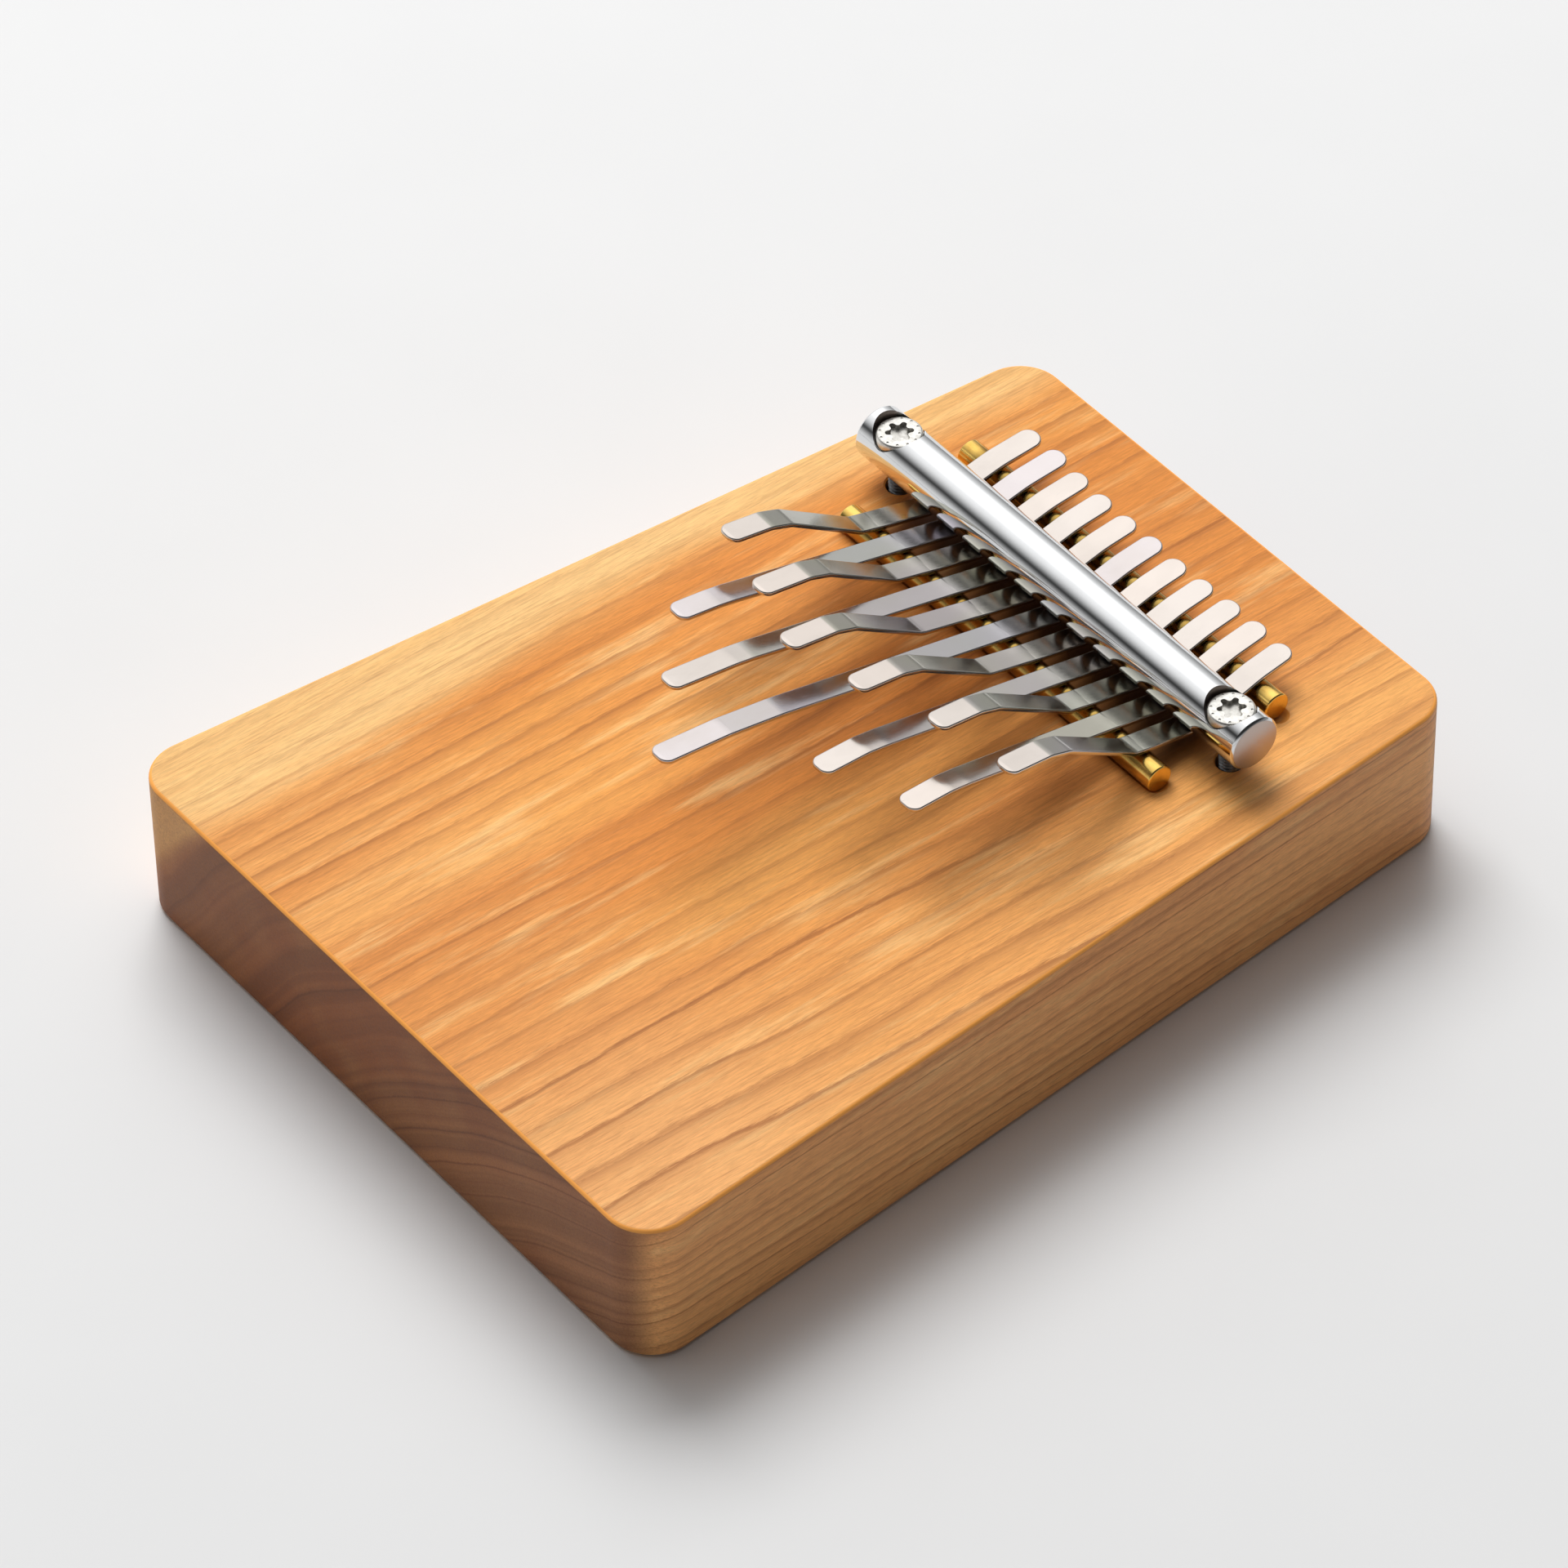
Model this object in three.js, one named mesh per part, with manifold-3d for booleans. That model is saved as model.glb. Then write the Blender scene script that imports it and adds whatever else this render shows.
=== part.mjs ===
// Board mbira: a wooden sound box with eleven spring-steel tines, held over two brass rods
// by a round steel bar and two screws. Millimetres, +Z up. X runs along the bar, the tine
// tips point towards -Y, and the box stands on z = 0.
import * as THREE from 'three';
import { mergeVertices } from 'three/addons/utils/BufferGeometryUtils.js';
import Module from 'manifold-3d';

const wasm = await Module();
wasm.setup();

// ---- Driving dimensions -------------------------------------------------------------

const GAP = 0.3; // clearance left between pieces that touch
const PAST = 1; // how far a cutting tool runs past the face it opens

const BOX = { length: 180, frontWidth: 139.4, backWidth: 111.2, height: 29, corner: 8, edge: 1 };
const CHAMBER = { wall: 12, front: -77, back: 24, roof: 6, corner: 9 };
const BACK_PLATE = { margin: 7, front: -82, back: 30, thickness: 4, corner: 10 };
const SOUND_HOLE = { radius: 15, y: -24 };

const BRIDGE_Y = 51.7; // centre line of the pressure bar
const ROD = { radius: 2.5, length: 82, spacing: 26, axis: 1.8, grooveEnd: 1.8, chamfer: 0.2 };
const REAR_ROD_SHORT = 1; // how much the rear rod stops short of its groove's +X end
const BAR = { radius: 5, length: 99, chamfer: 0.4 };
const SCREW = { reach: 43.4, shank: 2, point: 0.5, head: 4.2, headHeight: 2.1, length: 22 };
const DOME = { rim: 0.3, shoulder: 0.08, shoulderIn: 0.5, flatIn: 1.4 }; // the head's rounded top
const SCREW_SEAT = { radius: 4.6, floor: 1.4, hole: 2.5 };
const SOCKET = { radius: 2.08, lobe: 0.46, depth: 1.5 };
// Threaded sleeves in the wood, put in from below against a shoulder under the playing face.
const INSERT = { outer: 3.5, inner: 2.35, length: 12.5, shoulder: 3 };

const STRIP = { width: 4.7, thickness: 0.8 };
const TINE_PITCH = 6.94; // centre to centre, where the tines cross the front rod
const TINE_FAN = 0.0077; // extra sideways lean per tine, in radians
const CLAMP = { slope: 0.236, dip: 4 }; // how steeply the bar bends the tines down between the rods
const TAIL_SLOPE = 0.1;
const BEND = { rearRod: 1.5, frontRod: 0.2, tongue: 1.2 }; // length of each rounded bend's half

// Slopes of a raised tine, from the front rod to its tip.
const RAISED = { lead: 0.27, ramp: 0.67, panel: 0.37, tip: 0.14, panelRun: 4.1 };
// Slopes of a low tine.
const LOW = { lead: 0.231, ease: 0.18 };

// Each tine from left to right. tail: run beyond the rear rod. The other runs are measured
// along Y from the front rod, one after the other.
const raised = (tail, lead, ramp, tip) => ({ tail, runs: raisedRuns(lead, ramp, tip) });
const low = (tail, lead, ease, tip, slope) => ({ tail, runs: lowRuns(lead, ease, tip, slope) });
const TINES = [
  raised(9.0, 3.4, 14.3, 8.2),
  low(9.1, 35.3, 3.0, 7.6, 0.12),
  raised(8.4, 7.0, 13.7, 9.7),
  low(8.0, 42.2, 3.6, 12.9, 0.13),
  raised(7.8, 12.8, 13.6, 9.4),
  low(7.9, 47.5, 11.0, 13.3, 0.105),
  raised(7.5, 9.8, 14.2, 9.1),
  low(7.7, 37.3, 4.0, 9.1, 0.05),
  raised(8.0, 4.3, 15.1, 8.5),
  low(8.0, 31.7, 4.0, 8.3, 0.05),
  raised(7.8, 1.9, 14.3, 8.8),
];

// ---- Places worked out from the sizes above -----------------------------------------

const TOP = BOX.height;
const FRONT_ROD_Y = BRIDGE_Y - ROD.spacing / 2;
const REAR_ROD_Y = BRIDGE_Y + ROD.spacing / 2;
const ROD_Z = TOP + ROD.axis;
const LEAN = Math.atan(CLAMP.slope);
const STRIP_OVER_ROD = ROD_Z + (ROD.radius + GAP + STRIP.thickness) / Math.cos(LEAN);
// The clamped stretch is two straight slopes with a rounded dip between them.
const DIP_CORNER = STRIP_OVER_ROD - (CLAMP.slope * ROD.spacing) / 2;
const STRIP_UNDER_BAR = DIP_CORNER + (CLAMP.slope * CLAMP.dip) / 2;
const BAR_Z = STRIP_UNDER_BAR + GAP + BAR.radius;
const HEAD_BASE_Z = BAR_Z + SCREW_SEAT.floor + GAP;
const SHOULDER_Z = TOP - INSERT.shoulder;

// ---- Materials ----------------------------------------------------------------------

const finish = (color, roughness, metalness) => ({ color, roughness, metalness });
const CHERRY = finish(0xd08f52, 0.5, 0);
const PLYWOOD = finish(0xc79a66, 0.65, 0);
const BRASS = finish(0xd8b25a, 0.25, 1);
const CHROME = finish(0xdcdedf, 0.12, 1);
const SPRING_STEEL = finish(0xc9c7c4, 0.3, 1);
const STAINLESS = finish(0xd0cec8, 0.3, 1);

// ---- Solid modelling helpers --------------------------------------------------------

function solid(geometry) {
  const bare = geometry.clone();
  bare.deleteAttribute('normal');
  bare.deleteAttribute('uv');
  const merged = mergeVertices(bare, 1e-4);
  const corners = merged.index.array;
  const triangles = [];
  for (let i = 0; i < corners.length; i += 3) {
    const [a, b, c] = corners.subarray(i, i + 3);
    if (a !== b && b !== c && c !== a) triangles.push(a, b, c);
  }
  const vertProperties = new Float32Array(merged.attributes.position.array);
  return new wasm.Manifold(
    new wasm.Mesh({ numProp: 3, vertProperties, triVerts: new Uint32Array(triangles) })
  );
}

function cut(base, ...tools) {
  return tools.reduce((rest, tool) => rest.subtract(tool), base);
}

function toGeometry(manifold) {
  const { vertProperties, triVerts } = manifold.getMesh();
  const geometry = new THREE.BufferGeometry();
  geometry.setAttribute('position', new THREE.BufferAttribute(vertProperties, 3));
  geometry.setIndex(new THREE.BufferAttribute(triVerts, 1));
  geometry.computeVertexNormals();
  return geometry;
}

function piece(name, manifold, look) {
  const mesh = new THREE.Mesh(toGeometry(manifold), new THREE.MeshStandardMaterial(look));
  mesh.name = name;
  return mesh;
}

// A closed outline through the corners, counter-clockwise, with every corner rounded.
function roundedOutline(corners, radius) {
  const outline = new THREE.Shape();
  corners.forEach((corner, i) => {
    const before = corners.at(i - 1);
    const after = corners[(i + 1) % corners.length];
    const arriving = corner.clone().sub(before).normalize();
    const leaving = after.clone().sub(corner).normalize();
    const turn = Math.acos(arriving.dot(leaving));
    const start = corner.clone().addScaledVector(arriving, -radius * Math.tan(turn / 2));
    const inward = new THREE.Vector2(-arriving.y, arriving.x);
    const centre = start.clone().addScaledVector(inward, radius);
    const from = Math.atan2(start.y - centre.y, start.x - centre.x);
    outline.absarc(centre.x, centre.y, radius, from, from + turn, false);
  });
  return outline;
}

// Half the box's width at y, where the box tapers evenly from front to back.
function halfWidth(y) {
  const along = y / BOX.length + 0.5;
  return THREE.MathUtils.lerp(BOX.frontWidth, BOX.backWidth, along) / 2;
}

// The box's own taper, drawn in by a margin at the sides, between two ends.
function taperedOutline(front, back, margin, radius) {
  const frontX = halfWidth(front) - margin;
  const backX = halfWidth(back) - margin;
  const corners = [[-frontX, front], [frontX, front], [backX, back], [-backX, back]];
  return roundedOutline(corners.map(([x, y]) => new THREE.Vector2(x, y)), radius);
}

function prism(outline, bottom, top, curveSegments = 6) {
  const depth = top - bottom;
  const geometry = new THREE.ExtrudeGeometry(outline, { depth, bevelEnabled: false, curveSegments });
  return solid(geometry).translate(0, 0, bottom);
}

function drum(radius, bottom, top, segments = 32) {
  const geometry = new THREE.CylinderGeometry(radius, radius, top - bottom, segments);
  return solid(geometry).rotate([90, 0, 0]).translate(0, 0, (bottom + top) / 2);
}

// A turned solid about Z from [radius, height] pairs.
function turned(profile, segments = 32) {
  const points = profile.map(([radius, height]) => new THREE.Vector2(radius, height));
  return solid(new THREE.LatheGeometry(points, segments)).rotate([90, 0, 0]);
}

// ---- Wooden box ---------------------------------------------------------------------

// A round-ended groove along X, with its axis at the rod's.
function rodGroove(y) {
  const radius = ROD.radius + GAP;
  const straight = ROD.length + 2 * (ROD.grooveEnd - radius);
  const capsule = new THREE.CapsuleGeometry(radius, straight, 6, 32);
  return solid(capsule).rotate([0, 0, 90]).translate(0, y, ROD_Z);
}

function boxBlank() {
  const end = BOX.length / 2;
  const geometry = new THREE.ExtrudeGeometry(taperedOutline(-end, end, 0, BOX.corner), {
    depth: BOX.height - 2 * BOX.edge,
    bevelThickness: BOX.edge,
    bevelSize: BOX.edge,
    bevelOffset: -BOX.edge,
    bevelSegments: 3,
    curveSegments: 6,
  });
  return solid(geometry).translate(0, 0, BOX.edge);
}

function bodyBlock() {
  const chamber = taperedOutline(CHAMBER.front, CHAMBER.back, CHAMBER.wall, CHAMBER.corner);
  const { front, back, margin, corner, thickness } = BACK_PLATE;
  const rebate = taperedOutline(front, back, margin, corner);
  const screwHole = drum(SCREW_SEAT.hole, SHOULDER_Z - PAST, TOP + PAST);
  const insertHole = drum(INSERT.outer + GAP, -PAST, SHOULDER_Z).add(screwHole);
  return cut(
    boxBlank(),
    prism(chamber, -PAST, TOP - CHAMBER.roof),
    prism(rebate, -PAST, thickness + GAP),
    rodGroove(FRONT_ROD_Y),
    rodGroove(REAR_ROD_Y),
    insertHole.translate(-SCREW.reach, BRIDGE_Y, 0),
    insertHole.translate(SCREW.reach, BRIDGE_Y, 0)
  );
}

function backPlate() {
  const { front, back, margin, corner, thickness } = BACK_PLATE;
  const outline = taperedOutline(front + GAP, back - GAP, margin + GAP, corner);
  const hole = drum(SOUND_HOLE.radius, -PAST, thickness + PAST, 40).translate(0, SOUND_HOLE.y, 0);
  return cut(prism(outline, 0, thickness), hole);
}

// ---- Bridge -------------------------------------------------------------------------

function barStock(radius, length, chamfer) {
  const half = length / 2;
  const profile = [
    [0, -half],
    [radius - chamfer, -half],
    [radius, chamfer - half],
    [radius, half - chamfer],
    [radius - chamfer, half],
    [0, half],
  ];
  return turned(profile, 48).rotate([0, 90, 0]);
}

function bridgeRod(y, short = 0) {
  return barStock(ROD.radius, ROD.length - short, ROD.chamfer).translate(-short / 2, y, ROD_Z);
}

function pressureBar() {
  const seat = drum(SCREW_SEAT.radius, SCREW_SEAT.floor, BAR.radius + PAST, 40);
  const hole = drum(SCREW_SEAT.hole, -BAR.radius - PAST, SCREW_SEAT.floor + PAST);
  const tools = [-SCREW.reach, SCREW.reach].map((x) => seat.add(hole).translate(x, 0, 0));
  return cut(barStock(BAR.radius, BAR.length, BAR.chamfer), ...tools).translate(0, BRIDGE_Y, BAR_Z);
}

// The six-lobed driver socket.
function socketOutline() {
  const points = [];
  for (let i = 0; i < 48; i += 1) {
    const angle = (i / 48) * 2 * Math.PI;
    const radius = SOCKET.radius + SOCKET.lobe * Math.cos(6 * angle);
    points.push(new THREE.Vector2(radius * Math.cos(angle), radius * Math.sin(angle)));
  }
  return new THREE.Shape(points);
}

function clampScrew(x) {
  const { shank, point, head, headHeight, length } = SCREW;
  const profile = [
    [0, -length],
    [shank - point, -length],
    [shank, point - length],
    [shank, 0],
    [head, 0],
    [head, headHeight - DOME.rim],
    [head - DOME.shoulderIn, headHeight - DOME.shoulder],
    [head - DOME.flatIn, headHeight],
    [0, headHeight],
  ];
  const socket = prism(socketOutline(), headHeight - SOCKET.depth, headHeight + PAST);
  return cut(turned(profile), socket).translate(x, BRIDGE_Y, HEAD_BASE_Z);
}

function threadedInsert(x) {
  const { outer, inner, length } = INSERT;
  const profile = [[inner, -length], [outer, -length], [outer, 0], [inner, 0], [inner, -length]];
  return turned(profile).translate(x, BRIDGE_Y, SHOULDER_Z - GAP);
}

// ---- Tines --------------------------------------------------------------------------

function raisedRuns(lead, ramp, tip) {
  const { panelRun } = RAISED;
  return [[lead, RAISED.lead], [ramp, RAISED.ramp], [panelRun, RAISED.panel], [tip, RAISED.tip]];
}

function lowRuns(lead, ease, tip, slope) {
  return [[lead, LOW.lead], [ease, LOW.ease], [tip, slope]];
}

// Corners of the strip's upper line from the tail to the tip, as (y from the front rod, z),
// each with the length of its rounded bend.
function stripCorners(tine) {
  const overRear = ROD.spacing;
  const corners = [
    { y: overRear + tine.tail, z: STRIP_OVER_ROD + TAIL_SLOPE * tine.tail, bend: 0 },
    { y: overRear, z: STRIP_OVER_ROD, bend: BEND.rearRod },
    { y: overRear / 2, z: DIP_CORNER, bend: CLAMP.dip },
    { y: 0, z: STRIP_OVER_ROD, bend: BEND.frontRod },
  ];
  tine.runs.forEach(([run, slope], i) => {
    const { y, z } = corners.at(-1);
    const isTip = i === tine.runs.length - 1;
    corners.push({ y: y - run, z: z + slope * run, bend: isTip ? 0 : BEND.tongue });
  });
  return corners;
}

// The upper line as points, with every bend rounded.
function stripLine(corners) {
  const at = ({ y, z }) => new THREE.Vector2(y, z);
  const line = new THREE.Path();
  line.moveTo(corners[0].y, corners[0].z);
  corners.slice(1, -1).forEach((corner, i) => {
    const here = at(corner);
    const start = here.clone().add(at(corners[i]).sub(here).setLength(corner.bend));
    const end = here.clone().add(at(corners[i + 2]).sub(here).setLength(corner.bend));
    line.lineTo(start.x, start.y);
    line.quadraticCurveTo(here.x, here.y, end.x, end.y);
  });
  line.lineTo(corners.at(-1).y, corners.at(-1).z);
  return line.getPoints(3);
}

// The strip's side view: the upper line, and the same line one thickness below it.
function stripSection(corners) {
  const upper = stripLine(corners);
  const lower = upper.map((point, i) => {
    const before = upper[Math.max(i - 1, 0)];
    const after = upper[Math.min(i + 1, upper.length - 1)];
    const along = after.clone().sub(before).normalize();
    return point.clone().add(new THREE.Vector2(-along.y, along.x).multiplyScalar(STRIP.thickness));
  });
  return new THREE.Shape([...upper, ...lower.reverse()]);
}

// The strip's plan: straight sides with round ends, cut to the stretch from one y to another.
function stripPlan(tipY, tailY) {
  const half = STRIP.width / 2;
  const plan = new THREE.Shape();
  plan.absarc(0, tailY - half, half, 0, Math.PI, false);
  plan.absarc(0, tipY + half, half, Math.PI, 2 * Math.PI, false);
  return prism(plan, 0, 3 * TOP, 5);
}

function stripBetween(tine, fromY, toY) {
  const corners = stripCorners(tine);
  const section = stripSection(corners);
  const reach = STRIP.width + 2;
  const slab = new THREE.ExtrudeGeometry(section, { depth: reach, bevelEnabled: false });
  // The section is drawn in (y, z) and extruded along x.
  const strip = solid(slab).rotate([90, 0, 90]).translate(-reach / 2, 0, 0);
  const rounded = strip.intersect(stripPlan(corners.at(-1).y, corners[0].y));
  const stretch = solid(new THREE.BoxGeometry(2 * reach, toY - fromY, 6 * TOP));
  return rounded.intersect(stretch.translate(0, (fromY + toY) / 2, 0));
}

function placeTine(manifold, index) {
  const fromCentre = index - (TINES.length - 1) / 2;
  const lean = THREE.MathUtils.radToDeg(Math.atan(TINE_FAN * fromCentre));
  return manifold.rotate([0, 0, lean]).translate(TINE_PITCH * fromCentre, FRONT_ROD_Y, 0);
}

// Each strip is parted over the front rod: the tail is gripped, the tongue springs.
function addTine(group, tine, index) {
  const name = `tine_${String(index + 1).padStart(2, '0')}`;
  const tail = stripBetween(tine, GAP / 2, BOX.length);
  const tongue = stripBetween(tine, -BOX.length, -GAP / 2);
  group.add(piece(`${name}_tail`, placeTine(tail, index), SPRING_STEEL));
  group.add(piece(`${name}_tongue`, placeTine(tongue, index), SPRING_STEEL));
}

// ---- Assembly -----------------------------------------------------------------------

const mbira = new THREE.Group();
mbira.add(
  piece('body_block', bodyBlock(), CHERRY),
  piece('back_plate', backPlate(), PLYWOOD),
  piece('front_bridge_rod', bridgeRod(FRONT_ROD_Y), BRASS),
  piece('rear_bridge_rod', bridgeRod(REAR_ROD_Y, REAR_ROD_SHORT), BRASS),
  piece('pressure_bar', pressureBar(), CHROME),
  piece('clamp_screw_left', clampScrew(-SCREW.reach), STAINLESS),
  piece('clamp_screw_right', clampScrew(SCREW.reach), STAINLESS),
  piece('screw_insert_left', threadedInsert(-SCREW.reach), BRASS),
  piece('screw_insert_right', threadedInsert(SCREW.reach), BRASS)
);
TINES.forEach((tine, index) => addTine(mbira, tine, index));

export default mbira;
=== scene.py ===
"""Looks of the board mbira: fine meshes, materials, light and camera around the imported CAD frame.

Shapes are drawn in millimetres and turned into metres when a mesh is made. X runs along the
bar, the tine tips point towards -Y, and the box stands on z = 0, as in the CAD model. The
floor, the lights and the camera are laid out in metres.
"""

import math

import bpy
from mathutils import Matrix, Vector


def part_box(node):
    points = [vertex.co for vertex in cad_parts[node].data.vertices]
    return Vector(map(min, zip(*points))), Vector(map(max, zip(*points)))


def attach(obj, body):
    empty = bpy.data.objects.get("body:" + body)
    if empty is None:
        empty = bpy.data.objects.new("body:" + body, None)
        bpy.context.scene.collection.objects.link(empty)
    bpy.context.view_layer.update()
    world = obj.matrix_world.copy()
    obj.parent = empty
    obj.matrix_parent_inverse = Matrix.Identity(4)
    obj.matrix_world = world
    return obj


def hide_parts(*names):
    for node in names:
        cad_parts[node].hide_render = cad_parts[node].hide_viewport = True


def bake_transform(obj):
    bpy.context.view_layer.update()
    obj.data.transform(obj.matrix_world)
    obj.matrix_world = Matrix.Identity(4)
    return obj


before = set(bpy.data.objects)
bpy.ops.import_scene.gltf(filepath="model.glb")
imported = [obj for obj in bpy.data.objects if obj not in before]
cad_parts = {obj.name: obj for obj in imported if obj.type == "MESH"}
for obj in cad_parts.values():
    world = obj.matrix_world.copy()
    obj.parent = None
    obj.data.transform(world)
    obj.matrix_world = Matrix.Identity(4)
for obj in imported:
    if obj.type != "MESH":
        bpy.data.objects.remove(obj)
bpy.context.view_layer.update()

MM = 0.001


def box_mm(node):
    """Lowest and highest corner of a CAD node, in millimetres."""
    low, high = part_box(node)
    return low / MM, high / MM


def middle_mm(node):
    low, high = box_mm(node)
    return (low + high) / 2


# ---- Driving dimensions, in millimetres ---------------------------------------------

BLOCK_CORNER = box_mm("body_block")[1]
TOP = BLOCK_CORNER.z
HALF_LENGTH = BLOCK_CORNER.y
FRONT_WIDTH = 139.38
BACK_WIDTH = 111.2
CORNER = 8
EDGE = 0.8

# Hollows under the body block, by their front and back ends and their margin from its sides.
CHAMBER = {"front": -77, "back": 24, "margin": 12, "corner": 9, "roof": 6}
PLATE_SEAT = {"front": -82, "back": 30, "margin": 7, "corner": 10, "depth": 4.3, "gap": 0.3}
PLATE_EDGE = 0.35
PLY = 1.33  # one layer of the back plate
SOUND_HOLE = {"radius": 15, "y": -24, "edge": 0.6}

# Rods, bar, screws and inserts, along their own axes.
ROD = {"groove": 2.8, "groove_end": 1.8, "groove_pole": 0.02, "edge": 0.35}
BAR = {"chamfer": 0.45, "broken": 0.08, "seat": 4.55, "seat_floor": 1.4, "bore": 2.5}
SCREW = {"head_height": 2.1, "wider": 0.06, "shank": 2.0, "root": 1.6, "pitch": 0.7, "bare": 2.0}
SCREW_POINT = 0.5
NECK = {"waist": 0.05, "run_out": 0.3, "flare": 0.1, "flare_height": 0.15}
HEAD = {"side": 0.5, "shoulder": 0.62, "crown": 0.07, "flat": 0.5}
HEAD_RIM = [(0.12, 0), (0.03, 0.04), (0, 0.14)]  # (inset, height) round the head's lower edge
SOCKET = {"radius": 2.06, "lobe": 0.44, "depth": 0.95}
DIMPLES = {"count": 12, "circle": 3.4, "radius": 0.24, "depth": 0.16, "face": 0.03}
INSERT = {"hole": 3.8, "crest": 2.12, "bore": 2.32, "body": 3.1, "outer": 3.5, "collar": 0.7}
SCREW_HOLE = {"radius": 2.5, "countersink": 0.3, "gap": 0.3}
COARSE_PITCH = 2.4
LEAD_IN = {"start": 0.9, "outside": 0.8, "inside": 0.6}  # where an insert's threads fade out

# Tines: lengths, and slopes as rise over run.
STRIP = {"width": 4.7, "thickness": 0.8, "tip_corner": 1.85, "tail_corner": 2.2, "over_rod": 0.3}
TINE_PITCH = 6.94
TINE_FAN = 0.0077
CLAMP = {"slope": 0.236, "dip": 4}
TAIL_SLOPE = 0.1
BEND = {"rear_rod": 1.5, "front_rod": 0.2, "tongue": 0.7}  # run on each side that a bend rounds
RAISED = {"lead": 0.27, "ramp": 0.67, "panel": 0.37, "tip": 0.14, "panel_run": 4.1}
LOW = {"lead": 0.231, "ease": 0.18}


def raised(tail, lead, ramp, tip):
    """A tine that steps up: its tail, then (run, slope) pairs from the front rod to the tip."""
    runs = [(lead, RAISED["lead"]), (ramp, RAISED["ramp"])]
    return tail, runs + [(RAISED["panel_run"], RAISED["panel"]), (tip, RAISED["tip"])]


def low(tail, lead, ease, tip, slope):
    """A tine that stays low: its tail, then (run, slope) pairs from the front rod to the tip."""
    return tail, [(lead, LOW["lead"]), (ease, LOW["ease"]), (tip, slope)]


TINES = [
    raised(9.0, 3.4, 14.3, 8.2),
    low(9.1, 35.3, 3.0, 7.6, 0.12),
    raised(8.4, 7.0, 13.7, 9.7),
    low(8.0, 42.2, 3.6, 12.9, 0.13),
    raised(7.8, 12.8, 13.6, 9.4),
    low(7.9, 47.5, 11.0, 13.3, 0.105),
    raised(7.5, 9.8, 14.2, 9.1),
    low(7.7, 37.3, 4.0, 9.1, 0.05),
    raised(8.0, 4.3, 15.1, 8.5),
    low(8.0, 31.7, 4.0, 8.3, 0.05),
    raised(7.8, 1.9, 14.3, 8.8),
]

# ---- Mesh helpers -------------------------------------------------------------------


def make_object(name, points, faces, smooth=35):
    """A mesh object from points in millimetres, smooth except at edges sharper than an angle."""
    mesh = bpy.data.meshes.new(name)
    mesh.from_pydata([Vector(point) * MM for point in points], [], faces)
    mesh.validate()
    obj = bpy.data.objects.new(name, mesh)
    bpy.context.scene.collection.objects.link(obj)
    shade(obj, smooth)
    return obj


def shade(obj, angle):
    mesh = obj.data
    mesh.polygons.foreach_set("use_smooth", [True] * len(mesh.polygons))
    mesh.set_sharp_from_angle(angle=math.radians(angle))
    mesh.update()


def even_normals(obj):
    """Keeps flat faces flat beside their rounded edges."""
    modifier = obj.modifiers.new("even_normals", "WEIGHTED_NORMAL")
    modifier.mode = "FACE_AREA"
    modifier.weight = 100
    modifier.keep_sharp = True


def bake_modifiers(obj):
    """Replaces the mesh by what its modifiers make of it."""
    graph = bpy.context.evaluated_depsgraph_get()
    made = bpy.data.meshes.new_from_object(obj.evaluated_get(graph))
    obj.modifiers.clear()
    obj.data = made


def cut(obj, *tools):
    """Takes the tools' solids away from obj."""
    for tool in tools:
        modifier = obj.modifiers.new("cut", "BOOLEAN")
        modifier.operation = "DIFFERENCE"
        modifier.solver = "EXACT"
        modifier.object = tool
    bake_modifiers(obj)
    for tool in tools:
        bpy.data.objects.remove(tool)


def move(obj, offset=(0, 0, 0), turn=None):
    """Turns a mesh about the origin, then moves it by an offset in millimetres."""
    obj.data.transform(Matrix.Translation(Vector(offset) * MM) @ (turn or Matrix.Identity(4)))
    return obj


ALONG_X = Matrix.Rotation(math.radians(90), 4, "Y")


def loops_to_faces(loops, closed_ends=True):
    """Quads between loops of equal length, given as lists of point numbers."""
    faces = []
    count = len(loops[0])
    for lower, upper in zip(loops, loops[1:]):
        for i in range(count):
            j = (i + 1) % count
            faces.append((lower[i], lower[j], upper[j], upper[i]))
    if closed_ends:
        faces.append(tuple(reversed(loops[0])))
        faces.append(tuple(loops[-1]))
    return faces


def stacked(name, outlines):
    """A closed solid from (outline, z) pairs from the bottom up, all with as many points."""
    points, loops = [], []
    for outline, z in outlines:
        loops.append(range(len(points), len(points) + len(outline)))
        points += [(x, y, z) for x, y in outline]
    return make_object(name, points, loops_to_faces(loops))


def circle(radius, segments):
    angles = [2 * math.pi * i / segments for i in range(segments)]
    return [(radius * math.cos(angle), radius * math.sin(angle)) for angle in angles]


def turned(name, profile, segments=96):
    """A solid turned about Z from (radius, z) pairs from the bottom up, closed flat at its ends."""
    return stacked(name, [(circle(radius, segments), z) for radius, z in profile])


def quarter(radius, steps=6):
    """(inset, height) pairs round a quarter circle, from a flat face out to an upright side."""
    angles = [math.radians(90) * step / steps for step in range(steps + 1)]
    return [(radius * (1 - math.sin(angle)), radius * (1 - math.cos(angle))) for angle in angles]


def rounded_levels(bottom, top, edge):
    """(inset, z) pairs of a slab whose lower and upper edges are rounded."""
    lower = [(inset, bottom + height) for inset, height in quarter(edge)]
    upper = [(inset, top - height) for inset, height in reversed(quarter(edge))]
    return lower + upper


# ---- Wooden box ---------------------------------------------------------------------


def half_width(y):
    along = y / (2 * HALF_LENGTH) + 0.5
    return (FRONT_WIDTH + (BACK_WIDTH - FRONT_WIDTH) * along) / 2


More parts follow.
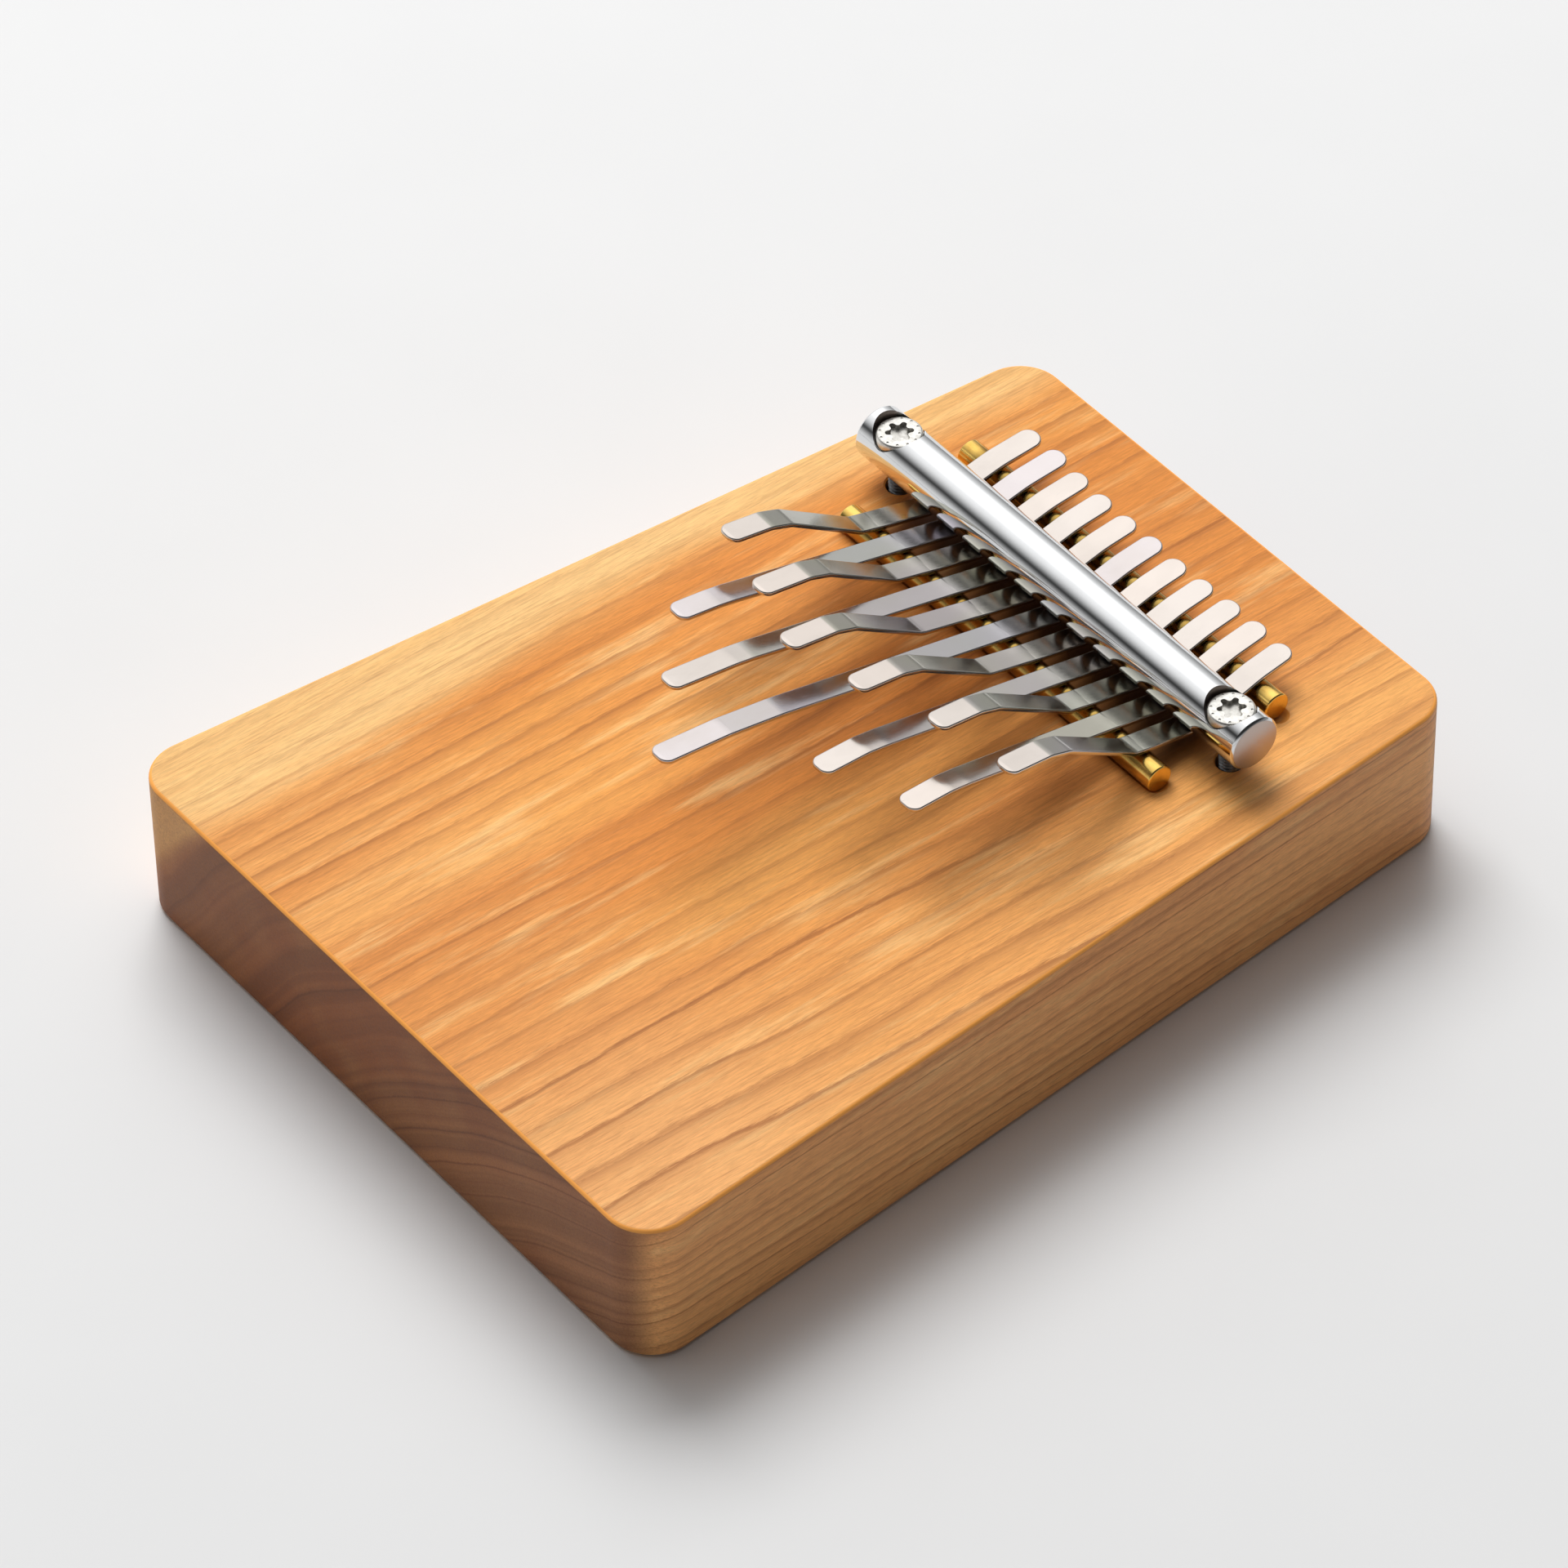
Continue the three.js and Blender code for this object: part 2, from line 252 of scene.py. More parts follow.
def tapered_outline(front, back, margin, corner, steps=14):
    """The box's taper drawn in by a margin at the sides, with rounded corners."""
    front_x, back_x = half_width(front) - margin, half_width(back) - margin
    corners = [(-front_x, front), (front_x, front), (back_x, back), (-back_x, back)]
    corners = [Vector(point) for point in corners]
    outline = []
    for i, here in enumerate(corners):
        arriving = (here - corners[i - 1]).normalized()
        leaving = (corners[(i + 1) % 4] - here).normalized()
        turn = arriving.angle(leaving)
        start = here - arriving * corner * math.tan(turn / 2)
        centre = start + Vector((-arriving.y, arriving.x)) * corner
        first = math.atan2(start.y - centre.y, start.x - centre.x)
        for step in range(steps + 1):
            angle = first + turn * step / steps
            outline.append((centre.x + corner * math.cos(angle), centre.y + corner * math.sin(angle)))
    return outline


def tapered_slab(name, front, back, margin, corner, levels):
    """A tapered slab from (inset, z) levels."""
    outlines = []
    for inset, z in levels:
        outline = tapered_outline(front + inset, back - inset, margin + inset, corner - inset)
        outlines.append((outline, z))
    return stacked(name, outlines)


def rod_groove(rod):
    """A round-ended groove tool for a rod. Both grooves are as long as the front rod's."""
    half = box_mm("front_bridge_rod")[1].x + ROD["groove_end"]
    radius, pole, steps = ROD["groove"], ROD["groove_pole"], 12
    profile = [(pole, -half)]
    for side, order in ((-1, range(1, steps + 1)), (1, range(steps, 0, -1))):
        for step in order:
            angle = math.radians(90) * step / steps
            reach = half - radius + radius * math.cos(angle)
            profile.append((radius * math.sin(angle), side * reach))
    profile.append((pole, half))
    centre = middle_mm(rod)
    return move(turned("groove", profile, 64), (0, centre.y, centre.z), ALONG_X)


def upright_hole(name, node, radius, bottom, top, segments=96):
    """A drum tool on a node's upright centre line."""
    centre = middle_mm(node)
    return move(turned(name, [(radius, bottom), (radius, top)], segments), (centre.x, centre.y, 0))


def screw_hole(insert):
    """The wide hole for an insert from below, a shoulder, and the narrow hole for its screw."""
    centre, shoulder = middle_mm(insert), box_mm(insert)[1].z + SCREW_HOLE["gap"]
    wide, narrow, edge = INSERT["hole"], SCREW_HOLE["radius"], SCREW_HOLE["countersink"]
    profile = [(wide + edge, -1), (wide + edge, 0), (wide, edge), (wide, shoulder), (narrow, shoulder)]
    profile += [(narrow, TOP - edge), (narrow + edge, TOP), (narrow + edge, TOP + 1)]
    return move(turned("hole", profile), (centre.x, centre.y, 0))


def body_block():
    levels = rounded_levels(0, TOP, EDGE)
    block = tapered_slab("wooden_body", -HALF_LENGTH, HALF_LENGTH, 0, CORNER, levels)
    room, seat = CHAMBER, PLATE_SEAT
    cut(
        block,
        tapered_slab("room", room["front"], room["back"], room["margin"], room["corner"],
                     [(0, -1), (0, TOP - room["roof"])]),
        tapered_slab("seat", seat["front"], seat["back"], seat["margin"], seat["corner"],
                     [(0, -1), (0, seat["depth"])]),
        rod_groove("front_bridge_rod"),
        rod_groove("rear_bridge_rod"),
        screw_hole("screw_insert_left"),
        screw_hole("screw_insert_right"),
    )
    shade(block, 35)
    even_normals(block)
    return block


def back_plate():
    plate_top = box_mm("back_plate")[1].z
    levels = rounded_levels(0, plate_top, PLATE_EDGE)
    seat, gap = PLATE_SEAT, PLATE_SEAT["gap"]
    plate = tapered_slab("sound_board_back", seat["front"] + gap, seat["back"] - gap,
                         seat["margin"] + gap, seat["corner"], levels)
    hole, edge = SOUND_HOLE["radius"], SOUND_HOLE["edge"]
    flare = [(hole + edge + 1, -1)]
    flare += [(hole + inset, height) for inset, height in quarter(edge)]
    flare.append((hole, plate_top + 1))
    cut(plate, move(turned("hole", flare, 128), (0, SOUND_HOLE["y"], 0)))
    shade(plate, 35)
    even_normals(plate)
    return plate


# ---- Bridge -------------------------------------------------------------------------


def round_bar_size(node):
    """The radius and half the length of a round bar along X."""
    low_corner, high_corner = box_mm(node)
    return (high_corner.z - low_corner.z) / 2, (high_corner.x - low_corner.x) / 2


def bridge_rod(node, name):
    radius, half = round_bar_size(node)
    levels = rounded_levels(-half, half, ROD["edge"])
    rod = turned(name, [(radius - inset, z) for inset, z in levels])
    even_normals(rod)
    return move(rod, middle_mm(node), ALONG_X)


def rounded_bar_profile(radius, half):
    """A bar end with a chamfer whose two edges are slightly broken."""
    chamfer, broken = BAR["chamfer"], BAR["broken"]
    in_line = broken * 0.6
    end = [
        (radius - chamfer - broken, half),
        (radius - chamfer + in_line, half - in_line),
        (radius - in_line, half - chamfer + in_line),
        (radius, half - chamfer - broken),
    ]
    return [(r, -z) for r, z in end] + [(r, z) for r, z in reversed(end)]


def pressure_bar():
    radius, half = round_bar_size("pressure_bar")
    centre = middle_mm("pressure_bar")
    bar = turned("clamping_bar", rounded_bar_profile(radius, half), 160)
    move(bar, centre, ALONG_X)
    tools = []
    for screw in ("clamp_screw_left", "clamp_screw_right"):
        floor = centre.z + BAR["seat_floor"]
        tools.append(upright_hole("seat", screw, BAR["seat"], floor, centre.z + radius + 1))
        tools.append(upright_hole("bore", screw, BAR["bore"], centre.z - radius - 1, floor + 1, 64))
    cut(bar, *tools)
    shade(bar, 30)
    round_normals(bar, centre, radius)
    return bar


def round_normals(bar, centre, radius):
    """Gives the bar's round surface the normals of a true cylinder along X."""
    near_surface, along_axis, outward = 0.985, 0.05, 0.97
    mesh = bar.data
    axis = Vector((0, centre.y, centre.z)) * MM
    normals = [Vector() for _ in mesh.loops]
    corner_normals = [corner.vector.copy() for corner in mesh.corner_normals]
    for face in mesh.polygons:
        out = face.center - axis
        out.x = 0
        on_surface = out.length > radius * MM * near_surface and abs(face.normal.x) < along_axis
        aligned = out.length > 0 and face.normal.dot(out.normalized()) > outward
        for loop in face.loop_indices:
            normal = corner_normals[loop]
            if on_surface and aligned:
                normal = mesh.vertices[mesh.loops[loop].vertex_index].co - axis
                normal.x = 0
                normal.normalize()
            normals[loop] = normal
    mesh.normals_split_custom_set(normals)


def thread_wave(turns):
    """A rounded thread's height, 0 to 1, over its turns."""
    across = abs((turns % 1.0) * 2 - 1)
    return min(1.0, max(0.0, across * 1.4 - 0.2))


def threaded_levels(bottom, top, pitch, steps=8):
    count = max(2, round((top - bottom) / pitch * steps))
    return [bottom + (top - bottom) * i / count for i in range(count + 1)]


def threaded_loop(z, root, crest, pitch, segments, fade=1.0):
    """One loop of a right-handed thread at height z."""
    outline = []
    for i in range(segments):
        height = thread_wave(z / pitch - i / segments) * fade
        angle = 2 * math.pi * i / segments
        radius = root + (crest - root) * height
        outline.append((radius * math.cos(angle), radius * math.sin(angle)))
    return outline


def socket_outline(points=120):
    outline = []
    for i in range(points):
        angle = 2 * math.pi * i / points
        wave = math.cos(6 * angle)
        radius = SOCKET["radius"] + SOCKET["lobe"] * math.copysign(abs(wave) ** 0.6, wave)
        outline.append((radius * math.cos(angle), radius * math.sin(angle)))
    return outline


def dimple_cutters(head_top):
    """A ring of small round pits in the head's face."""
    points, faces = [], []
    # (share of the radius, share of the depth, upwards) down the wall of a pit.
    rings = [(1.0, 0.3), (1.0, 0.0), (0.8, -0.55), (0.45, -0.9)]
    segments = 20
    for i in range(DIMPLES["count"]):
        around = 2 * math.pi * (i + 0.5) / DIMPLES["count"]
        centre_x = DIMPLES["circle"] * math.cos(around)
        centre_y = DIMPLES["circle"] * math.sin(around)
        loops = []
        for share, rise in reversed(rings):
            loops.append(range(len(points), len(points) + segments))
            z = head_top + rise * DIMPLES["depth"]
            for x, y in circle(share * DIMPLES["radius"], segments):
                points.append((centre_x + x, centre_y + y, z))
        faces += loops_to_faces(loops)
    return make_object("dimples", points, faces)


def head_dome(head, height, steps=8):
    """(radius, z) pairs of a low head: a rounded shoulder, then a faint crown in to the socket."""
    side, shoulder, crown, flat = (HEAD[key] for key in ("side", "shoulder", "crown", "flat"))
    profile = []
    for step in range(steps + 1):
        angle = math.radians(90) * step / steps
        radius = head - shoulder * (1 - math.cos(angle))
        profile.append((radius, side + (height - crown - side) * math.sin(angle)))
    profile.append((head - shoulder - flat, height - crown * 0.4))
    profile.append((head - shoulder - 2 * flat, height))
    return profile


def clamp_screw(node, name):
    low_corner, high_corner = box_mm(node)
    head = (high_corner.x - low_corner.x) / 2 + SCREW["wider"]
    height = SCREW["head_height"]
    length = high_corner.z - low_corner.z - height
    shank, root, pitch, bare = (SCREW[key] for key in ("shank", "root", "pitch", "bare"))
    segments = 96
    outlines = [(circle(root - SCREW_POINT, segments), -length)]
    for z in threaded_levels(-length + SCREW_POINT, -bare, pitch):
        fade = min(1.0, (-bare - z) / pitch, (z + length) / pitch)
        outlines.append((threaded_loop(z, root, shank, pitch, segments, max(0.0, fade)), z))
    waist = shank - NECK["waist"]
    neck = [(waist, -bare + NECK["run_out"]), (waist, -NECK["flare_height"]), (shank + NECK["flare"], 0)]
    rim = [(head - inset, z) for inset, z in HEAD_RIM]
    outlines += [(circle(radius, segments), z) for radius, z in neck + rim + head_dome(head, height)]
    screw = stacked(name, outlines)
    socket_levels = (height - SOCKET["depth"], height + 1)
    socket = stacked("socket", [(socket_outline(), z) for z in socket_levels])
    cut(screw, dimple_cutters(height - DIMPLES["face"]), socket)
    shade(screw, 32)
    even_normals(screw)
    centre = middle_mm(node)
    return move(screw, (centre.x, centre.y, high_corner.z - height))


def insert_outside(heights, length, segments):
    """(loop, z) pairs up the outside of an insert: a coarse thread, then a plain collar."""
    levels = []
    for z in heights:
        below_collar = max(0.0, -z - LEAD_IN["start"])
        fade = min(1.0, below_collar / LEAD_IN["outside"], (z + length) / LEAD_IN["outside"])
        loop = threaded_loop(z, INSERT["body"], INSERT["outer"], COARSE_PITCH, segments, fade)
        levels.append((loop, z))
    levels[-1] = (circle(INSERT["outer"], segments), 0)
    levels.insert(-1, (circle(INSERT["outer"], segments), -INSERT["collar"]))
    return levels


def insert_bore(heights, length, segments):
    """(loop, z) pairs down the fine thread inside an insert."""
    levels = []
    for z in reversed(heights):
        fade = min(1.0, -z / LEAD_IN["inside"], (z + length) / LEAD_IN["inside"])
        loop = threaded_loop(z, INSERT["bore"], INSERT["crest"], SCREW["pitch"], segments, fade)
        levels.append((loop, z))
    return levels


def threaded_insert(node, name, segments=72):
    """A sleeve with a fine thread inside and a coarse one outside."""
    low_corner, high_corner = box_mm(node)
    centre = middle_mm(node)
    length = high_corner.z - low_corner.z
    heights = threaded_levels(-length, 0, SCREW["pitch"])
    points, loops = [], []
    for outline, z in insert_outside(heights, length, segments) + insert_bore(heights, length, segments):
        loops.append(range(len(points), len(points) + segments))
        points += [(x, y, z) for x, y in outline]
    sleeve = make_object(name, points, loops_to_faces([*loops, loops[0]], False), 40)
    return move(sleeve, (centre.x, centre.y, high_corner.z))


# ---- Tines --------------------------------------------------------------------------

FRONT_ROD = middle_mm("front_bridge_rod")
REAR_ROD = middle_mm("rear_bridge_rod")
ROD_SPACING = REAR_ROD.y - FRONT_ROD.y
ROD_RADIUS = box_mm("front_bridge_rod")[1].z - FRONT_ROD.z
LEAN = math.atan(CLAMP["slope"])
OVER_ROD = FRONT_ROD.z + (ROD_RADIUS + STRIP["over_rod"] + STRIP["thickness"]) / math.cos(LEAN)
DIP_CORNER = OVER_ROD - CLAMP["slope"] * ROD_SPACING / 2


def strip_corners(tail, runs):
    """Corners (y from the front rod, z, bend length) of the strip's upper line, tail first."""
    corners = [
        (ROD_SPACING + tail, OVER_ROD + TAIL_SLOPE * tail, 0),
        (ROD_SPACING, OVER_ROD, BEND["rear_rod"]),
        (ROD_SPACING / 2, DIP_CORNER, CLAMP["dip"]),
        (0, OVER_ROD, BEND["front_rod"]),
    ]
    for run, slope in runs:
        y, z, _ = corners[-1]
        corners.append((y - run, z + slope * run, BEND["tongue"]))
    return corners


def strip_line(corners, steps=10, spacing=1.6):
    """The upper line as close points, with every bend rounded."""
    places = [Vector((y, z)) for y, z, _ in corners]
    line = [places[0]]

    def straight_to(end):
        start = line[-1]
        count = max(1, round((end - start).length / spacing))
        line.extend(start.lerp(end, i / count) for i in range(1, count + 1))

    for i in range(1, len(places) - 1):
        here, bend = places[i], corners[i][2]
        start = here + (places[i - 1] - here).normalized() * bend
        end = here + (places[i + 1] - here).normalized() * bend
        straight_to(start)
        for step in range(1, steps + 1):
            t = step / steps
            line.append(start.lerp(here, t).lerp(here.lerp(end, t), t))
    straight_to(places[-1])
    return line


def line_at(line, y):
    """The point of the line at y and its upward normal. The line runs towards lower y."""
    for before, after in zip(line, line[1:]):
        if after.x <= y:
            break
    along = (after - before).normalized()
    share = (before.x - y) / max(before.x - after.x, 1e-9)
    return before.lerp(after, share), Vector((along.y, -along.x))


def smooth_normals(line):
    """An averaged upward normal at each point of the line."""
    normals = []
    for i in range(len(line)):
        before, after = line[max(i - 1, 0)], line[min(i + 1, len(line) - 1)]
        along = (after - before).normalized()
        normals.append(Vector((along.y, -along.x)))
    return normals


# (inset, depth) round the strip's cross-section, from its upper face to its lower one.
STRIP_RIM = [(0.28, 0.0), (0.161, 0.024), (0.082, 0.082), (0.024, 0.161), (0.0, 0.28),
             (0.0, 0.64), (0.04, 0.745), (0.14, 0.8)]
END_STEPS = 12


def strip_stations(line):
    """Places along the strip: angles round the tail's corner, points of the line, then the tip's."""
    angles = [math.radians(90) * step / END_STEPS for step in range(1, END_STEPS + 1)]
    tail_end, tip_end = line[0].x - STRIP["tail_corner"], line[-1].x + STRIP["tip_corner"]
    stations = [("tail", angle) for angle in reversed(angles)]
    stations += [("middle", i) for i, point in enumerate(line) if tip_end < point.x < tail_end]
    return stations + [("tip", angle) for angle in angles]


def tine_mesh(name, tail, runs):
    """One whole tine, drawn along Y with its front-rod point at y = 0."""
    line = strip_line(strip_corners(tail, runs))
    normals = smooth_normals(line)
    half = STRIP["width"] / 2
    tail_y, tip_y = line[0].x, line[-1].x
    points, right, left = [], [], []
    for kind, value in strip_stations(line):
        right.append([])
        left.append([])
        for inset, depth in STRIP_RIM:
            if kind == "middle":
                x, place, normal = half - inset, line[value], normals[value]
            else:
                corner = STRIP[f"{kind}_corner"]
                reach = corner - inset
                x = half - corner + reach * math.cos(value)
                back = corner - reach * math.sin(value)
                place, normal = line_at(line, tail_y - back if kind == "tail" else tip_y + back)
            y, z = place - normal * depth
            for side, store in ((1, right), (-1, left)):
                store[-1].append(len(points))
                points.append((side * x, y, z))
    return make_object(name, points, strip_faces(right, left), 40)


def strip_faces(right, left):
    """Faces of the strip from its stations' rim points on the right and the left."""
    faces = []
    last = len(STRIP_RIM) - 1
    for i in range(len(right) - 1):
        faces.append((right[i][0], left[i][0], left[i + 1][0], right[i + 1][0]))
        faces.append((left[i][last], right[i][last], right[i + 1][last], left[i + 1][last]))
        for k in range(last):
            faces.append((right[i][k], right[i + 1][k], right[i + 1][k + 1], right[i][k + 1]))
            faces.append((left[i][k], left[i][k + 1], left[i + 1][k + 1], left[i + 1][k]))
    for k in range(last):
        faces.append((left[0][k], right[0][k], right[0][k + 1], left[0][k + 1]))
        faces.append((right[-1][k], left[-1][k], left[-1][k + 1], right[-1][k + 1]))
    return faces


def add_tine(index, tail, runs, material):
    """A tine in its place: it bends from its gripped tail to its free tongue at the front rod."""
    number = f"{index + 1:02d}"
    from_centre = index - (len(TINES) - 1) / 2
    lean = Matrix.Rotation(math.atan(TINE_FAN * from_centre), 4, "Z")
    tine = tine_mesh(f"tine_{number}", tail, runs)
    foot = Vector((TINE_PITCH * from_centre, FRONT_ROD.y, 0))
    move(tine, foot, lean)
    even_normals(tine)
    tine.data.materials.append(material)
    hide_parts(f"tine_{number}_tail", f"tine_{number}_tongue")
    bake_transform(tine)


# ---- Material nodes -----------------------------------------------------------------


class NodeTree:
    """Nodes added by short calls, so that a shader reads as a list of steps."""

    def __init__(self, owner):
        owner.use_nodes = True
        self.tree = owner.node_tree
        self.nodes = self.tree.nodes

    def set(self, socket, value):
        if isinstance(value, bpy.types.NodeSocket):
            self.tree.links.new(value, socket)
        else:
            socket.default_value = value

    def add(self, kind, *values, output=0, **settings):
        """Adds a node, sets its inputs in order and gives one of its outputs."""
        node = self.nodes.new(kind)
        for key, value in settings.items():
            setattr(node, key, value)
        for socket, value in zip(node.inputs, values):
            if value is not None:
                self.set(socket, value)
        return node.outputs[output]

    def math(self, operation, *values):
        return self.add("ShaderNodeMath", *values, operation=operation)

    def vector(self, operation, *values, output=0):
        return self.add("ShaderNodeVectorMath", *values, output=output, operation=operation)

    def distance(self, first, second):
        """The length of two offsets at right angles."""
        squares = [self.math("MULTIPLY", value, value) for value in (first, second)]
        return self.math("SQRT", self.math("ADD", *squares))

    def split(self, vector):
        node = self.nodes.new("ShaderNodeSeparateXYZ")
        self.set(node.inputs[0], vector)
        return tuple(node.outputs)

    def combine(self, x, y, z):
        return self.add("ShaderNodeCombineXYZ", x, y, z)

    def noise(self, place, scale, detail=2.0, rough=0.5, colour=False):
        """Noise with a scale per millimetre along each axis."""
        node = self.nodes.new("ShaderNodeTexNoise")
        self.set(node.inputs["Vector"], self.vector("MULTIPLY", place, scale))
        node.inputs["Scale"].default_value = 1.0
        node.inputs["Detail"].default_value = detail
        node.inputs["Roughness"].default_value = rough
        return node.outputs["Color" if colour else 0]

    def ease(self, value, start, end, low_value=0.0, high_value=1.0):
        """A smooth step from one value to another."""
        return self.add("ShaderNodeMapRange", value, start, end, low_value, high_value,
                        interpolation_type="SMOOTHSTEP")

    def mix(self, share, first, second, blend="MIX"):
        node = self.nodes.new("ShaderNodeMix")
        node.data_type = "RGBA"
        node.blend_type = blend
        for name, value in (("Factor_Float", share), ("A_Color", first), ("B_Color", second)):
            socket = next(s for s in node.inputs if s.identifier == name)
            self.set(socket, value)
        return next(s for s in node.outputs if s.identifier == "Result_Color")


class Look(NodeTree):
    """A surface material, drawn in the object's own coordinates."""

    def __init__(self, name, **shader):
        self.material = bpy.data.materials.new(name)
        super().__init__(self.material)
        self.shader = self.nodes["Principled BSDF"]
        self.finish(**shader)

    def place(self):
        """Object coordinates in millimetres."""
        place = self.add("ShaderNodeTexCoord", output="Object")
        return self.vector("MULTIPLY", place, (1 / MM,) * 3)

    def normal(self):
        """(x, y, z) of the surface normal in the object's frame."""
        return self.split(self.add("ShaderNodeTexCoord", output="Normal"))

    def bump(self, height, depth_mm, strength, under=None):
        node = self.nodes.new("ShaderNodeBump")
        node.inputs["Strength"].default_value = strength
        node.inputs["Distance"].default_value = depth_mm * MM
        self.set(node.inputs["Height"], height)
        if under is not None:
            self.set(node.inputs["Normal"], under)
        return node.outputs[0]

    def finish(self, **sockets):
        """Sets the shader's sockets by name, with _ for a space, and gives the material."""
        for name, value in sockets.items():
            self.set(self.shader.inputs[name.replace("_", " ")], value)
        return self.material


def rgb(red, green, blue):
    """A colour from 0 to 255 screen values."""

    def linear(value):
        share = value / 255
        return share / 12.92 if share <= 0.04045 else ((share + 0.055) / 1.055) ** 2.4

    return linear(red), linear(green), linear(blue), 1.0


# ---- Wood ---------------------------------------------------------------------------

# Growth rings are cylinders round the tree's pith, which lies along Y, below and right.
PITH = {"x": 115.0, "z": -118.0}
RING = {"first": 120.0, "width": 2.15, "widening": 0.0185}
SAPWOOD_RADIUS = 225.0
# Painted shade on the wood under the strips: (distance where it starts, distance where it is full).
BRIDGE_SHADE = {"along": (19.0, 9.0), "across": (43.0, 34.0), "below": (6, 4), "strength": 0.74}


def growth_rings(look, place):
    """Distance from the pith, with the rings' slow wander, and the count of rings to there."""
    wander = look.noise(place, (0.016, 0.0055, 0.016), 2.0, 0.5, colour=True)
    ripple = look.noise(place, (0.05, 0.021, 0.05), 3.0, 0.55, colour=True)
    shifted = place
    for noise, reach in ((wander, 8.0), (ripple, 1.3)):
        offset = look.vector("SUBTRACT", noise, (0.5, 0.5, 0.5))
        offset = look.vector("MULTIPLY", offset, (reach, 0, reach))
        shifted = look.vector("ADD", shifted, offset)
    x, _, z = look.split(shifted)
    across, up = look.math("SUBTRACT", x, PITH["x"]), look.math("SUBTRACT", z, PITH["z"])
    radius = look.distance(across, up)
    beyond = look.math("SUBTRACT", radius, RING["first"])
    growth = look.math("MULTIPLY_ADD", beyond, RING["widening"] / RING["width"], 1.0)
    rings = look.math("DIVIDE", look.math("LOGARITHM", growth, math.e), RING["widening"])
    return radius, rings


def ring_lines(look, rings, place, fray, side, end):
    """The dark late wood at each ring's edge, frayed by the fibres, uneven from ring to ring.

    Lines are wider and fewer on the box's sides, and only the strongest show on its end grain.
    """
    rings = look.math("MULTIPLY_ADD", fray, 0.22, rings)
    share = look.math("FRACT", rings)
    late = look.math("POWER", share, look.ease(side, 0.3, 0.9, 4.5, 2.6))
    after = look.ease(share, 0.0, 0.12, 1.0, 0.0)
    line = look.math("MAXIMUM", late, after)
    number = look.math("FLOOR", look.math("ADD", rings, 0.06))
    strength = look.nodes.new("ShaderNodeTexWhiteNoise")
    strength.noise_dimensions = "1D"
    look.set(strength.inputs["W"], number)
    strength = look.ease(strength.outputs["Value"], 0.0, 1.0, 0.3, 1.0)
    rarity = look.math("MULTIPLY_ADD", end, 2.5, look.ease(side, 0.3, 0.9, 1.0, 2.2))
    strength = look.math("POWER", strength, rarity)
    fading = look.ease(look.noise(place, (0.03, 0.012, 0.03), 1.0), 0.3, 0.6, 0.55, 1.0)
    return look.math("MULTIPLY", look.math("MULTIPLY", line, strength), fading)


def shade_under_bridge(look, place):
    """1 on the wood under the strips between the rods, where shade is painted, 0 away from it."""
    x, y, z = look.split(place)
    along = look.math("ABSOLUTE", look.math("SUBTRACT", y, FRONT_ROD.y + ROD_SPACING / 2))
    across = look.math("ABSOLUTE", x)
    near = look.math("MULTIPLY", look.ease(along, *BRIDGE_SHADE["along"]), look.ease(across, *BRIDGE_SHADE["across"]))
    bottom, full = (TOP - depth for depth in BRIDGE_SHADE["below"])
    return look.math("MULTIPLY", near, look.ease(z, bottom, full))


def heart_and_sap(look, place, radius, end_grain, facing_z):
    """The wood's ground colour, and 1 in the pale sapwood, 0 in the heartwood."""
    broad = look.ease(look.noise(place, (0.045, 0.006, 0.045), 2.0), 0.38, 0.62)
    heart = look.mix(broad, rgb(222, 145, 73), rgb(240, 173, 99))
    pale = look.mix(broad, rgb(234, 180, 110), rgb(243, 196, 130))
    edge_noise = look.noise(place, (0.04, 0.01, 0.04), 3.0)
    outer = look.math("MULTIPLY_ADD", edge_noise, 12.0, radius)
    reach = look.ease(end_grain, 0.0, 1.0, SAPWOOD_RADIUS + 7.5, SAPWOOD_RADIUS + 3.5)
    sap = look.ease(outer, SAPWOOD_RADIUS - 1.5, reach)
    across, along, _ = look.split(place)
    heart = look.mix(look.ease(across, 5.0, 58.0, 0.0, 0.45), heart, rgb(250, 196, 134))
    heart = look.mix(look.ease(across, -5.0, -40.0, 0.0, 0.4), heart, rgb(218, 140, 66))
    # The playing face has deepened from its middle to its back end.
    deeper = look.math("MULTIPLY", look.ease(along, -72.0, -30.0), look.ease(facing_z, 0.4, 0.9))
    heart = look.mix(deeper, heart, (0.98, 0.91, 0.72, 1), "MULTIPLY")
    return look.mix(sap, heart, pale), sap


def add_fibres(look, wood, place, fibre, fleck, end_grain):
    """Silky streaks, darker fibres and small flecks along the grain."""
    silk = look.ease(look.noise(place, (0.26, 0.022, 0.26), 4.0, 0.62), 0.5, 0.74)
    silk = look.math("MULTIPLY", silk, look.ease(end_grain, 0.0, 0.5, 0.6, 0.0))
    wood = look.mix(silk, wood, rgb(255, 210, 142))
    fibre_dark = look.ease(fibre, 0.5, 0.3, 0.0, 0.42)
    wood = look.mix(fibre_dark, wood, rgb(180, 110, 54))
    flecks = look.ease(fleck, 0.3, 0.7, 0.86, 1.1)
    return look.mix(1.0, wood, look.combine(flecks, flecks, flecks), "MULTIPLY")


